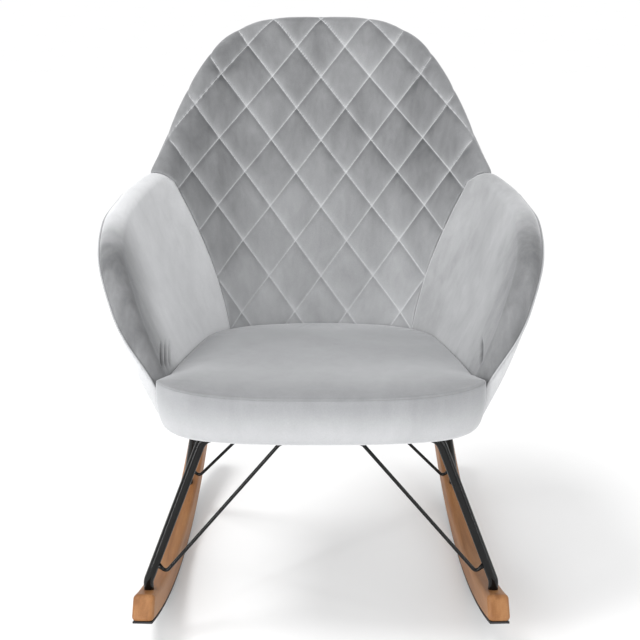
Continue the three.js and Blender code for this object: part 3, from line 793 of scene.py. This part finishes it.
def arm_shading(grid, turn, folds, side):
    """Painted light and shade of an arm: light on the inner face and over the armrest, a painted shade band
    along the rolled front edge, a painted sheen outside the piping, and painted shade along each crease;
    the left arm's inner face is lit more than the right's."""
    face = grid[:, : turn.shape[1]]
    steps = np.linalg.norm(np.diff(face, axis=1), axis=-1)
    run = np.concatenate([np.zeros((len(face), 1)), np.cumsum(steps, axis=1)], 1)
    brink = np.argmax(turn[0] > 0)
    from_rim = run[:, brink : brink + 1] - run
    t = np.linspace(0, 1, len(face))[:, None]
    front = smoothstep(t, 0.24, 0.50)
    dark = front * (1 - smoothstep(from_rim, -0.020, 0.140))
    outside = smoothstep(turn - welt_angle(t), 0.0, 0.08)
    # Painted light: the left arm's inner face is set lighter than the right's.
    inner = 0.92 if side < 0 else 0.46
    tone = lerp(lerp(inner, 0.09, dark), 0.70, outside)
    return np.clip(tone + 80 * folds, 0, 1)


for side, name in SIDES:
    grid, places = pad_solid("arm", seam_stations(300), 120, arm_relief(side))
    arm_a, arm_h, arm_turn, arm_away = places
    # Painted light and shade of the arm, with a painted highlight along its seams.
    tone = arm_shading(grid, arm_turn, creased(arm_a, arm_h, side), side) + seam_highlight(arm_away, 0.30)
    painted_shading = np.full(grid.shape[:2], 0.2)
    painted_shading[:, : arm_a.shape[1]] = np.clip(tone, 0, 1)
    grid = on_side(grid, side)
    piece = loft(f"arm_{name}", grid, ARM_VELVET, painted_shading, [f"arm_pad_{name}"])

# ---------------------------------------------------------------- the outer covers


def cover_solid(panel, stations):
    """An outer cover: its outer face, rounded in at the top and at the foot, and its inner face."""
    ribs = Ribs(panel, stations, "wall")
    inner, outer = COVER
    edge = 0.004
    w = np.linspace(0, 1, 60)[None]
    face = ribs.up(w, outer)
    away = edge_distance(wall(*face, outer))
    swell = 0.0015 * smoothstep(away, 0, 0.05) * np.sin(np.pi * w) - 0.0025 * np.exp(-away / 0.004)
    foot_turn = np.linspace(0, np.pi / 2, 7)[None, :-1]
    fade = 1 - np.exp(-w * 60)
    top = ribs.below(np.linspace(INSET, COVER_TOP, 4)[None, 1:])
    rows = len(stations)
    rear = ribs.up(np.linspace(1, 0, 14)[None], inner)
    a, h = ([np.repeat(face[k][:, :1], 6, 1), face[k], top[k], top[k][:, -1:], rear[k]] for k in (0, 1))
    low = outer - edge + edge * np.sin(foot_turn)
    depth = [
        np.broadcast_to(low, (rows, 6)),
        outer + swell * fade,
        np.broadcast_to([[outer, outer - 0.0008, outer - 0.0035]], (rows, 3)),
        np.full((rows, 1), inner),
        np.full((rows, 14), inner),
    ]
    a, h, depth = (np.concatenate(v, 1) for v in (a, h, depth))
    return wall(a, h, depth)


cover = cover_solid("back", seam_stations(200))
loft("back_outside", cover, COVER_VELVET, np.full(cover.shape[:2], 0.5), ["back_cover"])
for side, name in SIDES:
    grid = on_side(cover_solid("arm", seam_stations(180)), side)
    # Painted sheen: the side covers are set lighter than the back's.
    painted_shading = np.full(grid.shape[:2], 0.8)
    loft(f"side_outside_{name}", grid, COVER_VELVET, painted_shading, [f"side_cover_{name}"])

# Piping between the arm padding and its cover, from behind the rim to the front of the arm.
ribs = Ribs("arm", np.linspace(0.03, 0.97, 160), "pad")
angle = welt_angle(ribs.t)
reach = ROLL + WELT["radius"] * 0.7
path = wall(*ribs.below(ROLL - reach * np.sin(angle)), ROLL - reach * np.cos(angle))[:, 0]
for side, name in SIDES:
    grid = sweep(on_side(path, side), circle(WELT["radius"], 12))
    # Painted shade: the piping is set darker than the side covers.
    loft(f"piping_{name}", grid, COVER_VELVET, np.full(grid.shape[:2], 0.45), [f"welt_{name}"])

# ---------------------------------------------------------------- the seat


def crown(x):
    return SEAT_CROWN * (np.abs(x) / CROWN_REACH) ** 4


def bowed(angle, half_width, depth):
    """The bowed front in plan, from the middle round to the corner."""
    power = 2 / FRONT_POWER
    x = np.sign(angle) * half_width * np.abs(np.sin(angle)) ** power
    return x, FRONT_Y - depth * np.cos(angle) ** power


def half_outline(level, depth, clearance, front=70, side=70, half_width=None):
    """x and y of the right half of a seat layer's outline, from the front middle to the back middle."""
    distance = np.linspace(SEAT_SIDE, 0.004, side)
    height = height_at_level(distance, level, -clearance)
    edge = wall(distance, height, -clearance)
    width = edge[0, 0] if half_width is None else half_width
    x, y = bowed(np.linspace(0.008, FRONT_ANGLE, front), width, depth)
    return np.concatenate([x, edge[:, 0]]), np.concatenate([y, edge[:, 1]])


def spans(outline, columns):
    """A grid over the area inside an outline: straight rows across, from one side to the other."""
    x, y = outline
    share = np.sin(np.linspace(-np.pi / 2, np.pi / 2, columns))
    share = lerp(np.linspace(-1, 1, columns), share, 0.5)
    return x[:, None] * share, np.repeat(y[:, None], columns, 1)


def from_outline(x, y, outline):
    """Distance of points from an outline's edge."""
    ax = np.concatenate([outline[0], -outline[0][::-1]])
    ay = np.concatenate([outline[1], outline[1][::-1]])
    dx, dy = np.roll(ax, -1) - ax, np.roll(ay, -1) - ay
    px, py = np.ravel(x)[:, None], np.ravel(y)[:, None]
    t = np.clip(((px - ax) * dx + (py - ay) * dy) / np.maximum(dx * dx + dy * dy, 1e-12), 0, 1)
    gap = np.hypot(px - ax - t * dx, py - ay - t * dy).min(1)
    return gap.reshape(np.shape(x))


def slab_faces(rows, columns):
    """Faces of a closed slab whose top grid comes first and its bottom grid after it."""
    count = rows * columns
    top = np.array(strip_faces(rows, columns, False))
    bottom = top[:, ::-1] + count
    border = (
        [i * columns for i in range(rows)]
        + [(rows - 1) * columns + i for i in range(1, columns)]
        + [i * columns + columns - 1 for i in range(rows - 2, -1, -1)]
        + list(range(columns - 2, 0, -1))
    )
    sides = [[a, b, b + count, a + count] for a, b in zip(border, border[1:] + border[:1])]
    return top.tolist() + bottom.tolist() + sides


def inflate(piece, pinned, pressure, cap, frames=20):
    """Swells a piece by cloth simulation, then lets no point move further than the cap."""
    rest = np.array([v.co for v in piece.data.vertices])
    pins = piece.vertex_groups.new(name="pins")
    pins.add([int(i) for i in np.flatnonzero(pinned)], 1.0, "REPLACE")
    cloth = piece.modifiers.new("Cloth", "CLOTH")
    settings = cloth.settings
    settings.quality = 6
    settings.mass = 0.25
    settings.tension_stiffness = settings.compression_stiffness = 18
    settings.shear_stiffness = 10
    settings.bending_stiffness = 0.6
    settings.use_pressure = True
    settings.uniform_pressure_force = pressure
    settings.vertex_group_mass = "pins"
    settings.effector_weights.gravity = 0
    cloth.point_cache.frame_start, cloth.point_cache.frame_end = 1, frames
    for number in range(1, frames + 1):
        scene.frame_set(number)
    shown = piece.evaluated_get(bpy.context.evaluated_depsgraph_get()).to_mesh()
    moved = np.array([v.co for v in shown.vertices])
    piece.modifiers.remove(cloth)
    piece.vertex_groups.clear()
    scene.frame_set(1)
    step = moved - rest
    length = np.linalg.norm(step, axis=1, keepdims=True)
    final = rest + step * np.minimum(1, cap * np.tanh(length / cap) / np.maximum(length, 1e-9))
    piece.data.vertices.foreach_set("co", final.astype(np.float32).ravel())
    piece.data.update()


PUFF = 0.010  # height of the seat's crown over its seam
LIP = 0.085  # how far in from the seam the crown rises
seat_edge = half_outline(0.0, SEAT_BOW, SEAT_SEAM, half_width=SEAT_HALF_WIDTH)
top_x, top_y = spans(seat_edge, 110)
away = from_outline(top_x, top_y, seat_edge)
rise = PUFF * np.sqrt(1 - (1 - np.clip(away / LIP, 0, 1)) ** 2.6)
top = np.stack([top_x, top_y, seat_plane(top_y) + crown(top_x) - SEAT_SEAM + rise], -1)
front_seam = FRONT_Y - SEAT_BOW * np.sqrt(np.maximum(1 - (top_x / SEAT_HALF_WIDTH) ** 2, 0))
from_front = top_y - front_seam
# Painted light in a band behind the front seam, and painted shade towards the back of the seat.
seat_shading = 0.36 + 0.26 * np.exp(-(((from_front - 0.085) / 0.060) ** 2))
seat_shading = seat_shading - 0.10 * smoothstep(from_front, 0.18, 0.36)
under_edge = half_outline(-CUSHION_DEPTH, 0.060, 0.002)
under_x, under_y = spans(under_edge, 110)
under = np.stack([under_x, under_y, seat_plane(under_y) - CUSHION_DEPTH], -1)
rows, columns = top_x.shape
cushion = make_piece(
    "seat_top", np.concatenate([top, under]), slab_faces(rows, columns), SEAT_VELVET,
    painted_shading=np.concatenate([seat_shading.ravel(), np.full(rows * columns, 0.5)]), replaced=["seat_cushion"],
)
held = np.concatenate([(away < 0.004).ravel(), np.ones(rows * columns, bool)])
inflate(cushion, held, pressure=4.0, cap=0.006)

# Foam block under the seat, with softened edges.
foam_edge = half_outline(FOAM[1], 0.050, 0.003, 40, 50)
foam_x, foam_y = spans(foam_edge, 60)
soft = 0.006 * np.exp(-from_outline(foam_x, foam_y, foam_edge) / 0.006)
foam_top = np.stack([foam_x, foam_y, seat_plane(foam_y) + FOAM[1] - soft], -1)
foam_low = np.stack([foam_x, foam_y, seat_plane(foam_y) + FOAM[0]], -1)
block = make_piece(
    "foam_block", np.concatenate([foam_top, foam_low]), slab_faces(*foam_x.shape), FOAM_MATERIAL,
    replaced=["seat_foam"],
)

# Front boxing: a bowed band sewn to the seat's front edge and drawn under at the bottom.
rows_path, rows_share = spline(BOXING_ROWS, 40)
share = np.linspace(0, 1, 46)
level, half_width, bow = (np.interp(share, rows_share, rows_path[:, k]) for k in range(3))
band = np.linspace(-BOXING_REACH, BOXING_REACH, 220)[:, None]
shrink = 0.0012 * np.exp(-(1 - share) * 75 / 2) + 0.004 * np.exp(-share * 75 / 4)
outer = bowed(band, (half_width - shrink)[None], (bow - shrink)[None])
inner = bowed(band, (half_width - BOXING)[None, ::-1], (bow - BOXING)[None, ::-1])
x, y = (np.concatenate(v, 1) for v in zip(outer, inner))
up = np.concatenate([level, level[::-1]])[None]
z = seat_plane(y) + up - 0.0014 + smoothstep(up, -0.060, -0.007) * crown(x)
boxing_grid = np.stack([x, y, z], -1)
# Painted light on the lower part of the boxing, fading to painted shade at its top seam.
boxing_light_and_shade = lerp(0.86, 0.22, smoothstep(share, 0.35, 1.0))
boxing_shading = np.broadcast_to(np.concatenate([boxing_light_and_shade, boxing_light_and_shade[::-1]]), boxing_grid.shape[:2])
loft("front_boxing", boxing_grid, FRONT_VELVET, boxing_shading, ["seat_boxing"])

# Lining cloth stapled under the seat board, sagging a little between its edges.
cloth_edge = half_outline(DUST_COVER["top"], 0.045, -0.016, 40, 50, half_width=0.204)
cloth_x, cloth_y = spans(cloth_edge, 70)
hang = DUST_COVER["sag"] * smoothstep(from_outline(cloth_x, cloth_y, cloth_edge), 0, 0.07)
cloth_z = seat_plane(cloth_y) + DUST_COVER["top"] - hang
cloth_top = np.stack([cloth_x, cloth_y, cloth_z], -1)
cloth_low = cloth_top - (0, 0, DUST_COVER["thickness"])
dust = make_piece(
    "lining_cloth", np.concatenate([cloth_top, cloth_low]), slab_faces(*cloth_x.shape), LINING,
    replaced=["dust_cover"],
)
cloth_size = np.ptp(cloth_edge[0]) * 2, np.ptp(cloth_edge[1])
half_widths = (cloth_edge[0][1:] + cloth_edge[0][:-1]) / 2
cloth_area = 2 * float(np.sum(half_widths * np.abs(np.diff(cloth_edge[1]))))

# ---------------------------------------------------------------- tube frames and braces

ARC_Z = ROCKER["radius"] * math.cos(STRIP_FACET / ROCKER["radius"] / 2)
WOOD_RADIUS = ROCKER["radius"] - STRIP - GAP
TOP_RADIUS = WOOD_RADIUS - ROCKER_SIZE[1]


def rocker_x(y):
    return ROCKER["half"] - ROCKER["toe"] * (y - ROCKER["middle"])


def rocker_top(y):
    return ARC_Z - math.sqrt(TOP_RADIUS**2 - (y - ROCKER["middle"]) ** 2)


def crossbar_z(y):
    return seat_plane(y) + RAIL_UNDER - GAP - TUBE * math.hypot(1, SEAT_SLOPE)


for end, shape in FRAMES.items():
    foot_y, (bar_x, bar_y) = shape["foot"], shape["top"]
    foot_x, foot_z, bar_z = rocker_x(foot_y), rocker_top(foot_y), crossbar_z(bar_y)
    right = [
        (foot_x, foot_y, foot_z - SOCKET + GAP),
        (foot_x, foot_y, foot_z + shape["knee"]),
        (bar_x, bar_y, bar_z),
    ]
    left = [(-x, y, z) for x, y, z in reversed(right)]
    path = rounded([*right, *left], BEND)
    tube = sweep(path, circle(TUBE, 32))
    loft(f"tube_frame_{end}", tube, BLACK_STEEL, replaced=[f"frame_{end}"])
    rise, start, finish_x = shape["brace"]
    share_up = (rise + WIRE_CLIMB - shape["knee"]) / (bar_z - foot_z - shape["knee"])
    y = lerp(foot_y, bar_y, share_up)
    tube_x = lerp(foot_x, bar_x, share_up)
    wire_top = bar_z - TUBE - WIRE
    corners = [
        (tube_x - TUBE * 0.7, y, foot_z + rise + WIRE_CLIMB),
        (start, y, foot_z + rise),
        (finish_x, bar_y, wire_top),
        (finish_x - WIRE_TAIL, bar_y, wire_top),
    ]
    path = rounded(corners, WIRE_BEND)
    run = run_along(path)
    thick = WIRE * (1 + 0.55 * np.exp(-(run / 0.005) ** 2))
    for side, name in SIDES:
        grid = sweep(on_side(path, side), circle(thick, 20))
        loft(f"wire_{end}_{name}", grid, BLACK_STEEL, replaced=[f"brace_{end}_{name}"])

# ---------------------------------------------------------------- rockers


def rounded_box(width, height, radius, steps=7):
    """Outline of a rounded rectangle about its middle, as (across, up)."""
    points = []
    for quarter, (sx, sy) in enumerate(((1, -1), (1, 1), (-1, 1), (-1, -1))):
        turn = -np.pi / 2 + quarter * np.pi / 2 + np.linspace(0, np.pi / 2, steps)
        middle = (sx * (width / 2 - radius), sy * (height / 2 - radius))
        points += [(middle[0] + radius * math.cos(t), middle[1] + radius * math.sin(t)) for t in turn]
    return np.array(points)


def rocker_solid():
    """The right rocker: a rounded bar along its arc, with its two ends rounded over."""
    width, height = ROCKER_SIZE
    near_end = (1 - np.cos(np.linspace(0, np.pi / 2, 10))) * ROCKER_END
    ease = np.concatenate([near_end, np.linspace(0.012, 0.35, 90)])
    run = np.concatenate([ease, ROCKER_LENGTH - ease[::-1]])
    from_end = np.minimum(run, ROCKER_LENGTH - run)
    pull = 0.0065 * (1 - np.sqrt(1 - (1 - np.clip(from_end / ROCKER_END, 0, 1)) ** 2))
    rings = []
    for at, draw in zip(run, pull):
        section = rounded_box(width - 2 * draw, height - 2 * draw, ROCKER_ROUND)
        up = section[:, 1] / height + 0.5
        first = ROCKER_FIRST + ROCKER_SLANT / ROCKER["radius"] * up
        last = ROCKER_LAST - ROCKER_SLANT / ROCKER["radius"] * up
        angle = lerp(first, last, at / ROCKER_LENGTH)
        radius = (WOOD_RADIUS + TOP_RADIUS) / 2 - section[:, 1]
        rings.append(np.stack([section[:, 0], radius * np.sin(angle), ARC_Z - radius * np.cos(angle)], -1))
    grid = np.array(rings)
    toe = ROCKER["toe"]
    x, y, z = grid[..., 0], grid[..., 1], grid[..., 2]
    return np.stack(
        [ROCKER["half"] + x * math.cos(toe) - y * math.sin(toe),
         ROCKER["middle"] + x * math.sin(toe) + y * math.cos(toe), z], -1,
    )


ROCKER_FIRST = math.asin(ROCKER["front"] / ROCKER["radius"])
ROCKER_LAST = math.asin(ROCKER["rear"] / ROCKER["radius"])
ROCKER_LENGTH = (ROCKER_LAST - ROCKER_FIRST) * ROCKER["radius"]
for side, name in SIDES:
    grid = on_side(rocker_solid(), side)
    loft(f"beech_rocker_{name}", grid, BEECH, replaced=[f"rocker_{name}"])

# ---------------------------------------------------------------- carried-over parts

CAD_FINISHES = {
    "shell_core": PLYWOOD,
    "seat_board": PLYWOOD,
    "rail": BLACK_STEEL,
    "seat_bolt": ZINC,
    "tee_nut": ZINC,
    "rocker_bolt": ZINC,
    "tube_plug": ZINC,
    "rocker_strip": RUBBER,
}
for name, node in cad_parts.items():
    for start, finish in CAD_FINISHES.items():
        if name.startswith(start) and not node.hide_render:
            node.data.materials.clear()
            node.data.materials.append(finish)

# ---------------------------------------------------------------- floor, light and world


def pale_floor():
    m = Shader("pale_floor")
    m.set("Base Color", m.ramp(m.noise(3, 4), [(0.3, (0.80, 0.80, 0.80)), (0.7, (0.82, 0.82, 0.82))]))
    m.set("Roughness", 0.95)
    m.set("Specular IOR Level", 0.0)
    m.set("Emission Color", (1, 1, 1, 1))
    m.set("Emission Strength", 0.12)
    return m.made


FLOOR = 30.0  # half its width
floor_mesh = bpy.data.meshes.new("floor")
corners = [(-FLOOR, -FLOOR, 0), (FLOOR, -FLOOR, 0), (FLOOR, FLOOR, 0), (-FLOOR, FLOOR, 0)]
floor_mesh.from_pydata(corners, [], [(0, 1, 2, 3)])
floor = bpy.data.objects.new("floor", floor_mesh)
floor.location = (0, 0, -0.0008)
floor_mesh.materials.append(pale_floor())
scene.collection.objects.link(floor)


def softbox(name, at, aim, size, power, height=None):
    light = bpy.data.lights.new(name, "AREA")
    light.shape = "RECTANGLE"
    light.size, light.size_y = size, height or size
    light.energy = power
    lamp = bpy.data.objects.new(name, light)
    lamp.location = at
    lamp.rotation_euler = (Vector(aim) - Vector(at)).to_track_quat("-Z", "Y").to_euler()
    scene.collection.objects.link(lamp)
    return lamp


softbox("key", (-1.5, -3.0, 1.5), (0, 0, 0.50), size=1.5, power=42)
softbox("fill", (2.4, -2.4, 1.2), (0, 0, 0.50), size=1.0, power=10)
softbox("left_strip", (-2.0, -1.9, 0.7), (0, 0, 0.3), size=0.12, power=24, height=1.8)
softbox("right_strip", (2.2, -1.2, 0.7), (0, 0, 0.3), size=0.12, power=10, height=1.8)

sun_data = bpy.data.lights.new("overhead", "SUN")
sun_data.energy = 1.20
sun_data.angle = math.radians(18)
sun = bpy.data.objects.new("overhead", sun_data)
sun.rotation_euler = Vector((0.50, 0.06, -1)).to_track_quat("-Z", "Y").to_euler()
scene.collection.objects.link(sun)

world = bpy.data.worlds.new("studio")
world.use_nodes = True
world.node_tree.nodes["Background"].inputs["Color"].default_value = (1, 1, 1, 1)
world.node_tree.nodes["Background"].inputs["Strength"].default_value = 0.75
scene.world = world
scene.view_settings.view_transform = "Standard"
